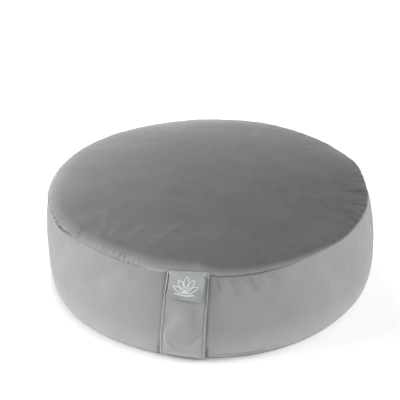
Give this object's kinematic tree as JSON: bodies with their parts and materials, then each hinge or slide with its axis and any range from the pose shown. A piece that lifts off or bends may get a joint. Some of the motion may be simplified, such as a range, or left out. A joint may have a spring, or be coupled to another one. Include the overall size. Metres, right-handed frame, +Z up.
{
  "type": "zafu meditation cushion",
  "caption": "Round drum-shaped velvet floor cushion with a crowned top, a bulging side band, a flat base, a carry strap sewn over the band and a small woven tag on it.",
  "frame": {"origin": "centre of the flat base, on the floor", "axes": "+Z up through the crown; the carry strap is at the front, on -Y; +X to the right, seen from the front"},
  "size_m": [0.4093, 0.4122, 0.1265],
  "materials": {
    "velvet": "short-pile grey velvet with a soft sheen",
    "tag_satin": "smooth woven satin, silver grey"
  },
  "bodies": {
    "root": {"cushion": "velvet", "carry_strap": "velvet", "woven_tag": "tag_satin"}
  },
  "joints": []
}
